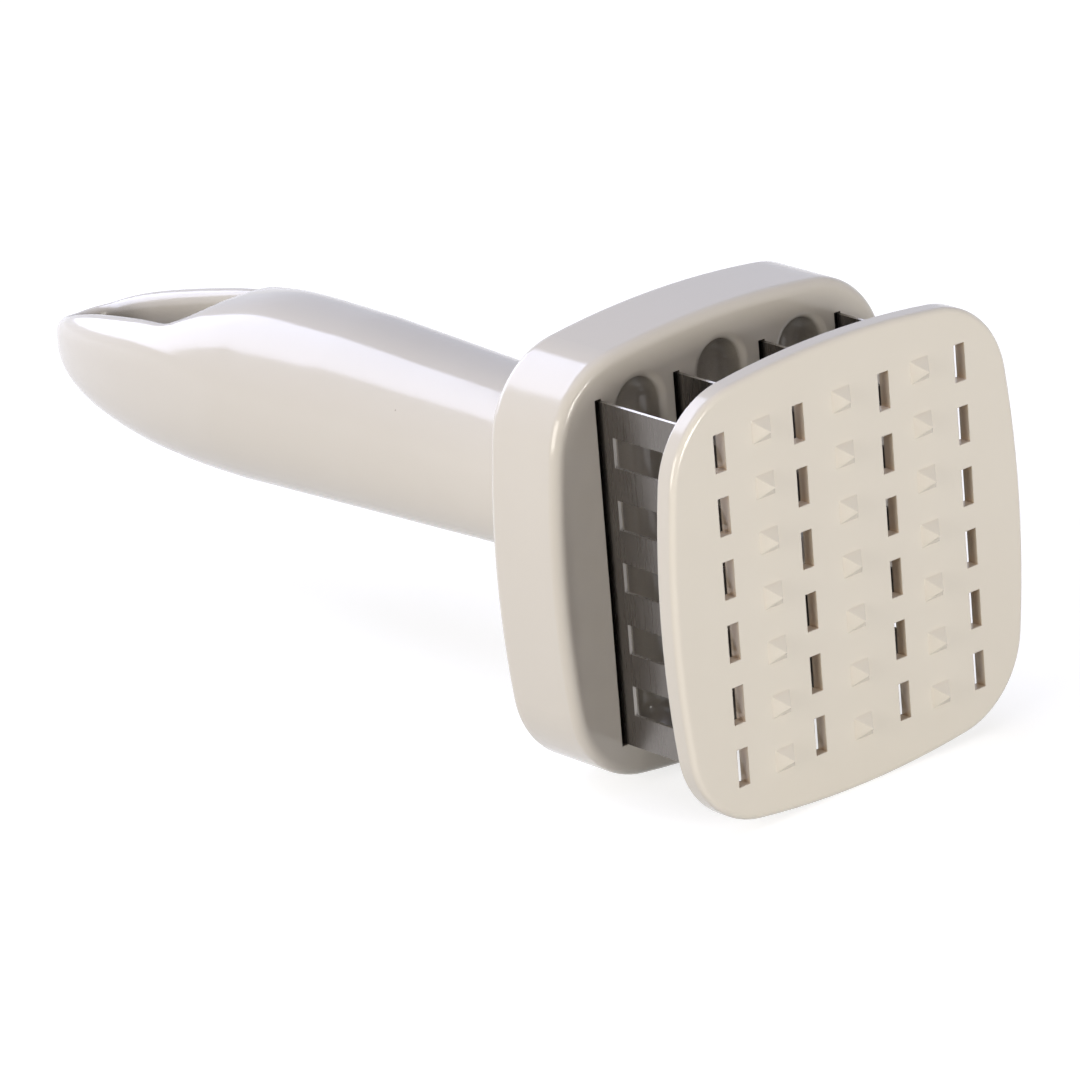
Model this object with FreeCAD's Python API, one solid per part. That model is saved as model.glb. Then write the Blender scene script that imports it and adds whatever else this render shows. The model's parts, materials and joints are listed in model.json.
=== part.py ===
"""Blade meat tenderizer: a sprung guard plate slides over four rows of blades at the end of a handle.

Frame, in millimetres: the origin is the centre of the guard plate's front face. +X is the way the blades
strike, +Y runs across the four blade strips, and +Z is up, along the strips, with the tool lying on its side.
The handle runs away along -X.
"""
import FreeCAD, Part
import math
import os

V = FreeCAD.Vector
ALONG = V(1, 0, 0)
BACK = V(-1, 0, 0)

# ---- shared fits and margins --------------------------------------------------
fit_gap = 0.15               # all round a piece dropped into a hollow
seat_gap = 0.05              # each side of a piece that seats in a hole or groove
slide_gap = 0.05             # each side of the stem in its bush
cut_past = 1.0               # how far a cutting solid runs past the face that it opens
edge_tolerance = 0.1         # used when edges are picked by their place

# ---- screws -------------------------------------------------------------------
screw_radius = 1.45
screw_head_radius = 2.75
screw_head_height = 1.5
screw_head_round = 0.65
screw_head_room = 0.3        # radial, in a counterbore
screw_end_room = 0.5         # from a screw's end to the bottom of its hole
cross_width = 0.7
cross_length = 3.2
cross_depth = 0.9

# ---- blades -------------------------------------------------------------------
blade_rows = 6
blade_pitch = 10.0
blade_width = 5.2
blade_slant = 2.4            # how far one corner of a tip leads the other
strip_thickness = 0.6
ear_reach = 1.3              # the hidden root is longer than the visible strip by this at each end
ear_depth = 4.0
root_proud = 2.7             # unbroken root that stands out of the head face
grind_length = 5.0           # one-sided grind that thins the tips
tip_thickness = 0.15
tip_rest_gap = 0.3           # tip to the floor's rear with the guard out
strip_half = (blade_rows - 1) / 2 * blade_pitch + blade_width / 2

# ---- outline shared by the head and the guard plate ---------------------------
corner_radius = 15.0
side_radius = 163.0          # the slow bow of each side between the corners

# ---- head housing -------------------------------------------------------------
head_side_wall = 2.8
ear_room = 3.8               # strip's ear to the housing wall, at the middle of a side
head_half = strip_half + ear_reach + ear_room + head_side_wall
scoop_radius = 4.4           # half-round hollows in the face between the strips
scoop_floor = 1.1            # wall left behind them
head_face_wall = scoop_radius + scoop_floor
head_front_round = 1.8
head_back_round = 1.5
slot_slack = 0.65            # the face slots are wider than a strip on one side
slot_end_gap = 0.3
scoop_end_wall = 6.5         # outer hollows, in from the middle of the head's side
scoop_mid_end_wall = 5.2     # middle hollows, the same
scoop_half = head_half - scoop_end_wall
scoop_mid_half = head_half - scoop_mid_end_wall
scoop_mid_start = 11.0
scoop_rim_round = 1.3

# ---- where the strips stand ---------------------------------------------------
strip_inner = 8.8            # offset of the two middle strips
outer_strip_inset = 10.8     # outer strips, in from the middle of the head's side
strip_outer = head_half - outer_strip_inset
strip_offsets = (-strip_outer, -strip_inner, strip_inner, strip_outer)

# ---- guard plate --------------------------------------------------------------
plate_overhang = 0.4         # the plate is this much larger than the head all round
plate_half = head_half + plate_overhang
plate_depth = 3.3            # front face to the rear of the rim
plate_floor = 2.0
plate_rim = 1.7              # rim wall
plate_edge_round = 1.0
slot_side_room = 0.8         # window to blade, across the strip
slot_end_room = 0.4          # window to blade, along the strip
slot_width = strip_thickness + 2 * slot_side_room
slot_height = blade_width + 2 * slot_end_room
stud_base = 3.7              # pyramid stud, side of its square foot
stud_height = 2.2
stud_column = 16.3           # offset of the two outer columns of studs
stud_rows = 7
stud_pitch = 8.75
stud_columns = (-stud_column, 0.0, stud_column)
rib_width = 1.4
rib_step = 0.3               # ribs end this far inside the rim's rear
socket_radius = 5.5          # round socket behind the plate for the stem
socket_height = 4.5          # from the floor's rear

# ---- blade carrier ------------------------------------------------------------
carrier_standoff = 1.0
carrier_thickness = 3.5
boss_radius = 3.0
boss_gap = 0.6               # boss to the outer strip
carrier_screw_y = strip_outer + strip_thickness / 2 + boss_gap + boss_radius
carrier_screw_z = 14.0
carrier_screw_room = 1.0     # screw heads to the handle's flange
pilot_floor = 1.5            # solid left ahead of a pilot hole

# ---- stem, bush and stop ------------------------------------------------------
head_gap = 23.1              # rim's rear to the head face with the guard out
closing_gap = 0.3            # plate's floor to the strips' roots at the end of the travel
stroke = head_gap + plate_depth - plate_floor - root_proud - closing_gap
stem_side = 6.0
stem_front_gap = 0.2         # stem to the plate's floor
bush_radius = 5.4
bush_flange = 1.5
bush_flange_lip = 0.65       # the bush's flange laps the housing tube by more than its wall
tube_wall = 1.5              # housing tube round the bush
bush_hole_radius = bush_radius + seat_gap
tube_radius = bush_hole_radius + tube_wall
bush_flange_radius = tube_radius + bush_flange_lip
recess_gap = 0.7             # radial room round the plate's socket in the face recess
recess_floor = 2.9           # wall left behind the recess
washer_inset = 0.2
washer_radius = bush_flange_radius - washer_inset
washer_thickness = 1.2
stem_tail = 0.1              # washer to bush with the guard out
stop_screw_reach = 8.0       # thread length inside the stem
pin_radius = 0.8
pin_gap = 0.02
pin_sunk = 0.3               # the pin's ends lie this far inside the socket's surface
pin_inset = 2.4              # pin axis behind the floor's rear

# ---- spring -------------------------------------------------------------------
spring_wire = 1.1
spring_mean_radius = 6.0
spring_turns = 11
spring_pressed = 30.9        # length at the end of the travel
spring_length = spring_pressed + stroke

# ---- handle -------------------------------------------------------------------
flange_thickness = 3.0
head_depth = (head_face_wall + carrier_standoff + carrier_thickness + screw_head_height
              + carrier_screw_room + flange_thickness)
handle_boss_radius = 3.3
handle_boss_gap = 0.1        # boss to the outer strip
handle_screw_y = strip_outer + strip_thickness / 2 + handle_boss_gap + handle_boss_radius
handle_screw_z = 25.5
handle_length = 150.3        # head back to butt
neck_width = 12.3            # half width where the handle leaves the head
neck_top = 13.5
neck_bottom = 11.6
grip_width = 15.5            # half width at the swell
grip_top = 16.3
grip_bottom = 15.2
tail_length = 57.3           # widest place to butt
crown_from_head = 70.0       # head back to where the top stops rising
grip_squareness = 2.25       # 2 is an ellipse, more is squarer
tip_drop = 1.5               # the butt's nose lies this far below the axis
side_taper = (1.8, 2.1)      # closing of the sides on the butt: how late it starts, how round it ends
belly_taper = (2.2, 2.3)
crown_taper = (10.0, 2.0)
bevel_from_butt = 58.0       # the sloping top starts here
bevel_end_height = 5.2       # height of the sloping top near the butt
bevel_blend = 0.5            # how softly the grip's top turns into the slope
bevel_end_from_butt = 5.0
bevel_squareness = 3.5       # of the sloping top
belly_squareness = 2.5       # of the underside round the eye
squaring_from_butt = 62.0    # the tail starts to grow squarer here
squaring_length = 30.0
nose_flat = 0.25             # the skin ends in a tiny flat, this far inside the butt's point
cavity_room = 1.4            # handle cavity to the bush's flange
cavity_radius = bush_flange_radius + cavity_room
spring_step = 1.0            # the step that carries the spring reaches in from its mean radius
core_radius = spring_mean_radius - spring_step
eye_from_butt = 45.0         # front edge of the hanging eye
eye_wall_end = 5.0           # web behind the eye
eye_half_front = 8.8
eye_front_round = 5.0
eye_back_round = 3.6
eye_lip_round = 1.5
core_end_wall = 11.0         # from the hollow core to the eye
grip_sections = 6            # lofted stretches from the head to the swell
tail_sections = 9            # and from the swell to the butt
section_points = 40

# ---- stations along X ---------------------------------------------------------
floor_rear = -plate_floor
rim_rear = -plate_depth
tip_x = floor_rear - tip_rest_gap
face_x = rim_rear - head_gap
wall_x = face_x - head_face_wall
back_x = face_x - head_depth
root_x = face_x + root_proud
ear_back = wall_x - ear_depth
carrier_front = wall_x - carrier_standoff
carrier_back = carrier_front - carrier_thickness
flange_front = back_x + flange_thickness
recess_x = wall_x + recess_floor
bush_back = flange_front - bush_flange
washer_front = bush_back - stem_tail
washer_back = washer_front - washer_thickness
stem_front = floor_rear - stem_front_gap
pin_x = floor_rear - pin_inset
cavity_end = washer_back - spring_length
butt_x = back_x - handle_length
swell_x = butt_x + tail_length
eye_front = butt_x + eye_from_butt
eye_back = butt_x + eye_wall_end


def cylinder(radius, x_front, x_back, y=0.0, z=0.0):
    """A round bar along X."""
    return Part.makeCylinder(radius, x_front - x_back, V(x_front, y, z), BACK)


def block(x_low, x_high, y_low, y_high, z_low, z_high):
    """A box between two corners."""
    return Part.makeBox(x_high - x_low, y_high - y_low, z_high - z_low, V(x_low, y_low, z_low))


def squircle(half, corner, side, x):
    """Outline in the plane X = x: four bowed sides joined by tangent corner arcs."""
    rise = half - side
    # the corner's centre (c, c) lies side - corner from the side arc's centre (rise, 0)
    c = (rise + math.sqrt(2 * (side - corner) ** 2 - rise ** 2)) / 2
    tilt = math.atan2(c, c - rise)

    def turn(y, z, quarter):
        a = quarter * math.pi / 2
        return V(x, y * math.cos(a) - z * math.sin(a), y * math.sin(a) + z * math.cos(a))

    edges = []
    for quarter in range(4):
        low = turn(rise + side * math.cos(tilt), -side * math.sin(tilt), quarter)
        mid = turn(half, 0, quarter)
        high = turn(rise + side * math.cos(tilt), side * math.sin(tilt), quarter)
        knee = turn(c + corner / math.sqrt(2), c + corner / math.sqrt(2), quarter)
        following = turn(rise + side * math.cos(tilt), -side * math.sin(tilt), quarter + 1)
        edges.append(Part.Arc(low, mid, high).toShape())
        edges.append(Part.Arc(high, knee, following).toShape())
    return Part.Wire(edges)


def slab(inset, half, x_front, x_back):
    """A solid with the head's outline, drawn in by inset."""
    outline = squircle(half - inset, corner_radius - inset, side_radius - inset, x_front)
    return Part.Face(outline).extrude(V(x_back - x_front, 0, 0))


def round_edges_at(solid, x, radius, nearest=0.0, farthest=math.inf):
    """Fillets the edges in the plane X = x whose middle lies in a band of distances from the axis."""
    picked = []
    for edge in solid.Edges:
        box = edge.BoundBox
        distance = math.hypot(edge.CenterOfMass.y, edge.CenterOfMass.z)
        flat = abs(box.XMin - x) < edge_tolerance and abs(box.XMax - x) < edge_tolerance
        if flat and nearest < distance < farthest:
            picked.append(edge)
    return solid.makeFillet(radius, picked)


def row_positions(count, pitch):
    return [(i - (count - 1) / 2) * pitch for i in range(count)]


def pyramid(y, z):
    """A square stud that rises from the plate's front face to a point."""
    h = stud_base / 2
    foot = Part.makePolygon([V(0, y - h, z - h), V(0, y + h, z - h), V(0, y + h, z + h), V(0, y - h, z + h),
                             V(0, y - h, z - h)])
    return Part.makeLoft([foot, Part.Vertex(V(stud_height, y, z))], True, True)


def guard_plate():
    body = slab(0, plate_half, 0, rim_rear)
    body = round_edges_at(body, 0, plate_edge_round)
    body = body.cut(slab(plate_rim, plate_half, floor_rear, rim_rear - cut_past))
    ribs = []
    for y in stud_columns:
        reach = plate_half - plate_rim / 2
        side = rib_width / 2
        ribs.append(block(rim_rear + rib_step, floor_rear, y - side, y + side, -reach, reach))
    inside = slab(plate_rim / 2, plate_half, floor_rear, rim_rear)
    body = body.fuse([rib.common(inside) for rib in ribs])
    body = body.fuse(cylinder(socket_radius, floor_rear, floor_rear - socket_height))
    hole = stem_side / 2 + seat_gap
    socket_end = floor_rear - socket_height
    body = body.cut(block(socket_end - cut_past, stem_front + seat_gap, -hole, hole, -hole, hole))
    body = body.cut(pin_hole(socket_radius))
    windows = []
    for y in strip_offsets:
        for z in row_positions(blade_rows, blade_pitch):
            windows.append(block(floor_rear - cut_past, cut_past, y - slot_width / 2, y + slot_width / 2,
                                 z - slot_height / 2, z + slot_height / 2))
    body = body.cut(windows)
    studs = [pyramid(y, z) for y in stud_columns for z in row_positions(stud_rows, stud_pitch)]
    return body.fuse(studs).removeSplitter()


def pin_hole(reach):
    """Cutter for the cross hole that the stem pin passes through, as far as reach each way."""
    reach += cut_past
    return Part.makeCylinder(pin_radius + pin_gap, 2 * reach, V(pin_x, 0, -reach))


def guide_stem():
    h = stem_side / 2
    bar = block(washer_front, stem_front, -h, h, -h, h)
    thread_end = washer_front + stop_screw_reach + screw_end_room
    bar = bar.cut(cylinder(screw_radius + seat_gap, thread_end, washer_front - cut_past))
    return bar.cut(pin_hole(h))


def stem_pin():
    reach = socket_radius - pin_sunk
    return Part.makeCylinder(pin_radius, 2 * reach, V(pin_x, 0, -reach))


def guide_bush():
    body = cylinder(bush_radius, recess_x, flange_front)
    body = body.fuse(cylinder(bush_flange_radius, flange_front, bush_back))
    hole = stem_side / 2 + slide_gap
    body = body.cut(block(bush_back - cut_past, recess_x + cut_past, -hole, hole, -hole, hole))
    return body.removeSplitter()


def stop_washer():
    return cylinder(washer_radius, washer_front, washer_back).cut(
        cylinder(screw_radius + seat_gap, washer_front + cut_past, washer_back - cut_past))


def screw(x_head, reach, y=0.0, z=0.0, facing=-1):
    """A pan-head screw whose head sits on the plane X = x_head and stands out the way it faces."""
    head = Part.makeCylinder(screw_head_radius, screw_head_height, V(0, 0, 0), V(facing, 0, 0))
    rim = max(head.Edges, key=lambda e: facing * e.CenterOfMass.x)
    head = head.makeFillet(screw_head_round, [rim])
    shank = Part.makeCylinder(screw_radius, reach, V(0, 0, 0), V(-facing, 0, 0))
    top = facing * screw_head_height
    low, high = sorted((top - facing * cross_depth, top + facing))
    slots = [block(low, high, -cross_length / 2, cross_length / 2, -cross_width / 2, cross_width / 2),
             block(low, high, -cross_width / 2, cross_width / 2, -cross_length / 2, cross_length / 2)]
    body = head.fuse(shank).cut(slots).removeSplitter()
    body.translate(V(x_head, y, z))
    return body


def stop_screw():
    return screw(washer_back, stop_screw_reach + washer_thickness)


def return_spring():
    pitch = (spring_length - 2 * spring_wire) / spring_turns
    height = pitch * spring_turns
    helix = Part.makeHelix(pitch, height, spring_mean_radius)
    section = Part.Wire(Part.makeCircle(spring_wire / 2, V(spring_mean_radius, 0, 0), V(0, 1, 0)))
    coil = Part.Wire(helix.Edges).makePipeShell([section], True, True)
    coil.rotate(V(0, 0, 0), V(0, 1, 0), -90)
    coil.translate(V(washer_back - spring_wire, 0, 0))
    return coil


def strip_outline(y):
    """The strip's flat profile in XZ: a root band with slanted tines in front and a longer root behind."""
    ear = strip_half + ear_reach
    points = [(ear_back, -ear), (wall_x, -ear), (wall_x, -strip_half)]
    for z in row_positions(blade_rows, blade_pitch):
        low, high = z - blade_width / 2, z + blade_width / 2
        points += [(root_x, low), (tip_x, low), (tip_x - blade_slant, high), (root_x, high)]
    points += [(wall_x, strip_half), (wall_x, ear), (ear_back, ear), (ear_back, -ear)]
    return Part.makePolygon([V(x, y, z) for x, z in points])


def blade_strip(y):
    side = y - strip_thickness / 2
    body = Part.Face(strip_outline(side)).extrude(V(0, strip_thickness, 0))
    reach = strip_half + cut_past
    wedge = Part.makePolygon([V(tip_x - grind_length, side + strip_thickness, -reach),
                              V(tip_x + cut_past, side + strip_thickness, -reach),
                              V(tip_x + cut_past, side + tip_thickness, -reach),
                              V(tip_x, side + tip_thickness, -reach),
                              V(tip_x - grind_length, side + strip_thickness, -reach)])
    return body.cut(Part.Face(wedge).extrude(V(0, 0, 2 * reach)))


def scoop(y, z_low, z_high):
    """A long half-round hollow with round ends, sunk into the head face."""
    low, high = z_low + scoop_radius, z_high - scoop_radius
    bar = Part.makeCylinder(scoop_radius, high - low, V(face_x, y, low))
    return bar.fuse([Part.makeSphere(scoop_radius, V(face_x, y, z)) for z in (low, high)])


def head_scoops():
    outer = (strip_inner + strip_outer) / 2
    return [scoop(-outer, -scoop_half, scoop_half), scoop(outer, -scoop_half, scoop_half),
            scoop(0, scoop_mid_start, scoop_mid_half), scoop(0, -scoop_mid_half, -scoop_mid_start)]


def carrier_screw_places():
    return [(sy * carrier_screw_y, sz * carrier_screw_z) for sy in (-1, 1) for sz in (-1, 1)]


def handle_screw_places():
    return [(-handle_screw_y, 0), (handle_screw_y, 0), (0, -handle_screw_z), (0, handle_screw_z)]


def strip_slots():
    """Slots in the head face, each wider than its strip on one side."""
    reach = strip_half + slot_end_gap
    left = strip_thickness / 2 + slot_slack
    right = strip_thickness / 2 + seat_gap
    return [block(wall_x - cut_past, face_x + cut_past, y - left, y + right, -reach, reach)
            for y in strip_offsets]


def head_housing():
    body = slab(0, head_half, face_x, back_x).cut(head_scoops())
    # the rims of the hollows lie nearer to the axis than this, the outer edge lies farther
    zone = head_half - head_front_round / 2
    body = round_edges_at(body, face_x, scoop_rim_round, farthest=zone)
    body = round_edges_at(body, face_x, head_front_round, nearest=zone)
    body = round_edges_at(body, back_x, head_back_round)
    body = body.cut(slab(head_side_wall, head_half, wall_x, back_x - cut_past))
    body = body.cut(strip_slots())
    hollow = slab(head_side_wall / 2, head_half, wall_x, back_x)
    bosses = [cylinder(boss_radius, wall_x, carrier_front, y, z) for y, z in carrier_screw_places()]
    bosses += [cylinder(handle_boss_radius, wall_x, flange_front, y, z) for y, z in handle_screw_places()]
    bosses += [cylinder(tube_radius, wall_x, flange_front)]
    body = body.fuse([boss.common(hollow) for boss in bosses])
    pilot = screw_radius + seat_gap
    holes = [cylinder(pilot, face_x - pilot_floor, carrier_front - cut_past, y, z)
             for y, z in carrier_screw_places()]
    holes += [cylinder(pilot, wall_x, flange_front - cut_past, y, z) for y, z in handle_screw_places()]
    holes += [cylinder(bush_hole_radius, face_x + cut_past, flange_front - cut_past)]
    holes += [cylinder(socket_radius + recess_gap, face_x + cut_past, recess_x)]
    return body.cut(holes)


def blade_carrier():
    body = slab(head_side_wall + fit_gap, head_half, carrier_front, carrier_back)
    ahead, behind = carrier_front + cut_past, carrier_back - cut_past
    cuts = [cylinder(tube_radius + fit_gap, ahead, behind)]
    for y, z in handle_screw_places():
        cuts.append(cylinder(handle_boss_radius + fit_gap, ahead, behind, y, z))
    for y, z in carrier_screw_places():
        cuts.append(cylinder(screw_radius + seat_gap, ahead, behind, y, z))
    reach = strip_half + ear_reach + fit_gap
    for y in strip_offsets:
        half = strip_thickness / 2 + seat_gap
        cuts.append(block(ear_back, ahead, y - half, y + half, -reach, reach))
    return body.cut(cuts)


def carrier_screws():
    reach = face_x - pilot_floor - screw_end_room - carrier_back
    return Part.makeCompound([screw(carrier_back, reach, y, z) for y, z in carrier_screw_places()])


def end_share(distance, length, along, across):
    """Share of the full size left at a distance into a rounded end: 1 at its start, 0 at its tip."""
    ratio = min(max(distance / length, 0.0), 1.0)
    return (1 - ratio ** along) ** (1 / across)


def ease(t):
    """A soft step from 0 to 1."""
    t = min(max(t, 0.0), 1.0)
    return t * t * (3 - 2 * t)


def bevel_height(x):
    """Height of the sloping top face at station x."""
    start, end = butt_x + bevel_from_butt, butt_x + bevel_end_from_butt
    share = (start - x) / (start - end)
    return grip_top + (bevel_end_height - grip_top) * share


def handle_section(x):
    """Half width, top, bottom and squareness above and below of the handle at station x."""
    swell = min((back_x - x) / (back_x - swell_x), 1)
    width = neck_width + (grip_width - neck_width) * swell
    top = neck_top + (grip_top - neck_top) * min((back_x - x) / crown_from_head, 1)
    bottom = neck_bottom + (grip_bottom - neck_bottom) * swell
    into = swell_x - x
    length = swell_x - butt_x
    width *= end_share(into, length, *side_taper)
    bottom = tip_drop + (bottom - tip_drop) * end_share(into, length, *belly_taper)
    # the lower of the grip's top and the sloping top, eased where they meet
    top = -bevel_blend * math.log(math.exp(-top / bevel_blend) + math.exp(-bevel_height(x) / bevel_blend))
    top = -tip_drop + (top + tip_drop) * end_share(into, length, *crown_taper)
    squared = ease((butt_x + squaring_from_butt - x) / squaring_length)
    above = grip_squareness + (bevel_squareness - grip_squareness) * squared
    below = grip_squareness + (belly_squareness - grip_squareness) * squared
    return width, top, bottom, above, below


def handle_wire(x):
    """One cross-section: two half superellipses that meet at the widest height."""
    width, top, bottom, above, below = handle_section(x)
    middle = -tip_drop * ease((swell_x - x) / (swell_x - butt_x))
    points = []
    for i in range(section_points):
        angle = 2 * math.pi * i / section_points
        c, s = math.cos(angle), math.sin(angle)
        power = above if s > 0 else below
        height = (top - middle) if s > 0 else (middle + bottom)
        radius = ((abs(c) / width) ** power + (abs(s) / height) ** power) ** (-1 / power)
        points.append(V(x, radius * c, middle + radius * s))
    spacing = [i / section_points for i in range(section_points + 1)]
    curve = Part.BSplineCurve()
    curve.interpolate(points, PeriodicFlag=True, Parameters=spacing)
    return Part.Wire(curve.toShape())


def handle_skin():
    """The grip's outer form, lofted from the head's back to the nose of the butt."""
    grip = [back_x + (swell_x - back_x) * i / grip_sections for i in range(grip_sections + 1)]
    turns = [math.pi / 2 * i / tail_sections for i in range(1, tail_sections)]
    tail = [swell_x - tail_length * math.sin(turn) for turn in turns]
    wires = [handle_wire(x) for x in grip + tail + [butt_x + nose_flat]]
    return Part.makeLoft(wires, True, False)


def eye_cutter():
    """The hanging eye: a rounded triangle, wide at the front, cut straight through the tail."""
    below = -2 * grip_width
    centre_x, centre_y = eye_front - eye_front_round, eye_half_front - eye_front_round
    rear_x = eye_back + eye_back_round
    # both arcs share a tangent whose normal points this way
    span = math.hypot(centre_x - rear_x, centre_y)
    normal = (math.atan2(centre_y, centre_x - rear_x) + math.pi / 2
              + math.asin((eye_front_round - eye_back_round) / span))

    def on_front(angle, side):
        return V(centre_x + eye_front_round * math.cos(angle),
                 side * (centre_y + eye_front_round * math.sin(angle)), below)

    def on_back(side):
        return V(rear_x + eye_back_round * math.cos(normal), side * eye_back_round * math.sin(normal), below)

    edges = [Part.LineSegment(on_front(0, -1), on_front(0, 1)).toShape(),
             Part.Arc(on_front(0, 1), on_front(normal / 2, 1), on_front(normal, 1)).toShape(),
             Part.LineSegment(on_front(normal, 1), on_back(1)).toShape(),
             Part.Arc(on_back(1), V(eye_back, 0, below), on_back(-1)).toShape(),
             Part.LineSegment(on_back(-1), on_front(normal, -1)).toShape(),
             Part.Arc(on_front(normal, -1), on_front(normal / 2, -1), on_front(0, -1)).toShape()]
    return Part.Face(Part.Wire(edges)).extrude(V(0, 0, -2 * below))


def eye_lips(body):
    """The two closed loops of edges where the eye meets the handle's skin."""
    lips = []
    for edge in body.Edges:
        box = edge.BoundBox
        within = box.XMin > eye_back - edge_tolerance and box.XMax < eye_front + edge_tolerance
        if within and not isinstance(edge.Curve, Part.Line):
            lips.append(edge)
    return lips


def handle_body():
    body = handle_skin().cut(eye_cutter())
    body = body.makeFillet(eye_lip_round, eye_lips(body))
    body = body.fuse(slab(head_side_wall + fit_gap, head_half, flange_front, back_x))
    ahead, behind = flange_front + cut_past, back_x - cut_past
    cuts = [cylinder(cavity_radius, ahead, cavity_end),
            cylinder(core_radius, cavity_end + cut_past, eye_front + core_end_wall)]
    for y, z in handle_screw_places():
        cuts.append(cylinder(screw_radius + seat_gap, ahead, behind, y, z))
        cuts.append(cylinder(screw_head_radius + screw_head_room, back_x + screw_head_height, behind, y, z))
    return body.cut(cuts)


def handle_screws():
    seat = back_x + screw_head_height
    reach = wall_x - screw_end_room - seat
    return Part.makeCompound([screw(seat, reach, y, z) for y, z in handle_screw_places()])


def save(name, shape):
    solids = shape.Solids
    for solid in solids:
        if not solid.isValid():
            raise ValueError(name + " is not a valid solid")
    out = solids[0] if len(solids) == 1 else shape
    out.exportStep("parts/" + name + ".step")
    print(name, len(solids), "solid(s)", round(out.Volume, 1), "mm3")


os.makedirs("parts", exist_ok=True)
save("guard_plate", guard_plate())
save("guide_stem", guide_stem())
save("stem_pin", stem_pin())
save("stop_washer", stop_washer())
save("stop_screw", stop_screw())
save("guide_bush", guide_bush())
save("return_spring", return_spring())
save("head_housing", head_housing())
for number, offset in enumerate(strip_offsets, 1):
    save("blade_strip_" + str(number), blade_strip(offset))
save("blade_carrier", blade_carrier())
save("carrier_screws", carrier_screws())
save("handle_body", handle_body())
save("handle_screws", handle_screws())
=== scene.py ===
# %% [markdown]
# # A blade meat tenderizer
#
# The tool is a kitchen hand tool: rows of thin steel blades stand in a square plastic head, a slotted
# guard plate slides over them on a spring, and a straight moulded grip drives them. The packed CAD model
# holds every piece at its real size. This lesson loads it, gives each surface its real material, builds
# the pieces whose form is softer than CAD can say, and lights the tool as a product on a pale table.

# %% Load the frame
import json
import math

import bmesh
import bpy
import numpy as np
from mathutils import Matrix, Quaternion, Vector
from mathutils.geometry import tessellate_polygon


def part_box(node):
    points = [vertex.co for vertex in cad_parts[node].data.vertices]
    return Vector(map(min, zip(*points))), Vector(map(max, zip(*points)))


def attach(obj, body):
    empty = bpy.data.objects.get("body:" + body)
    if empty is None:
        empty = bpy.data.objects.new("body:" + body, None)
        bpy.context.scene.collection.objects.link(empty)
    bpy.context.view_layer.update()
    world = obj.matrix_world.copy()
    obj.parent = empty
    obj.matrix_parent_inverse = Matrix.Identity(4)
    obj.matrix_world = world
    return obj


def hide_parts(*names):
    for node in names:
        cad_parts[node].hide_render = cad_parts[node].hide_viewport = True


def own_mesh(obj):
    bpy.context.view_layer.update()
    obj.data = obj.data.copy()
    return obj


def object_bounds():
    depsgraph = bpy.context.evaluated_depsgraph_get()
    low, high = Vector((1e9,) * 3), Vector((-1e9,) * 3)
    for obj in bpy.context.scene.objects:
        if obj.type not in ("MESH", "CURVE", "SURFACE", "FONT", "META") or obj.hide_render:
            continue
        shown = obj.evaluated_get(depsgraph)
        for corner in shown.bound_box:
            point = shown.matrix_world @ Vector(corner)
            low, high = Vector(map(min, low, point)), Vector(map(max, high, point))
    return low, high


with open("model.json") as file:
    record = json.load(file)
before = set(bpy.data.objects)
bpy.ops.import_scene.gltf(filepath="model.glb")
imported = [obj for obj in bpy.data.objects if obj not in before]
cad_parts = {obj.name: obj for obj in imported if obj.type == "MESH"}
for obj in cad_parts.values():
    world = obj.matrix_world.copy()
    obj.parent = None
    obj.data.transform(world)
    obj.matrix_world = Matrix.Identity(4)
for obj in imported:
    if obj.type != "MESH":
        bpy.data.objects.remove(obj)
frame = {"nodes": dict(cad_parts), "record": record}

scene = bpy.context.scene
bpy.context.view_layer.update()
cad_low, cad_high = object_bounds()
MM = 0.001
print("CAD box in mm:", [round(v / MM, 1) for v in (*cad_low, *cad_high)])

# %% [markdown]
# ## Camera
#
# A long lens from about a metre away keeps the square head square: near and far edges shrink almost
# alike. The camera is set by the place it stands, the direction it looks in and a small roll, because
# those three are what one moves on a tripod.

# %% Camera
camera_place = Vector((789.96, -715.73, 399.02)) * MM
camera_forward = Vector((-0.72248, 0.59936, -0.34466))
camera_roll = math.radians(-4.83)
camera_lens = 252.15     # mm
sensor_width = 36        # mm, a full-frame sensor
nearest_seen = 10 * MM   # nothing closer than this is drawn

camera_data = bpy.data.cameras.new("camera")
camera_data.lens = camera_lens
camera_data.sensor_width = sensor_width
camera_data.clip_start = nearest_seen
camera = bpy.data.objects.new("camera", camera_data)
scene.collection.objects.link(camera)
turn = camera_forward.to_track_quat("-Z", "Y") @ Quaternion((0, 0, 1), camera_roll)
camera.matrix_world = Matrix.LocRotScale(camera_place, turn, None)
scene.camera = camera
print("camera distance to the plate in mm:", round(camera_place.length / MM))

# %% [markdown]
# ## Colours and nodes
#
# Colours are picked as sRGB hex values, as on a screen, but a renderer adds up light, so it needs linear
# ones. One function turns the first into the second. One more function adds a node, with its settings and
# its links, and every material below is built with it.

# %% Helpers for colours and nodes
def linear(hex_colour):
    """sRGB hex to linear RGBA."""
    parts = [int(hex_colour[i:i + 2], 16) / 255 for i in (1, 3, 5)]
    return tuple(c / 12.92 if c <= 0.04045 else ((c + 0.055) / 1.055) ** 2.4 for c in parts) + (1.0,)


def add_node(tree, kind, inputs=None, **settings):
    """Adds a node; an input is a value, or another node's output socket to link from."""
    node = tree.nodes.new(kind)
    for name, value in settings.items():
        setattr(node, name, value)
    for key, value in (inputs or {}).items():
        if isinstance(value, bpy.types.NodeSocket):
            tree.links.new(value, node.inputs[key])
        else:
            node.inputs[key].default_value = value
    return node


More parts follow.
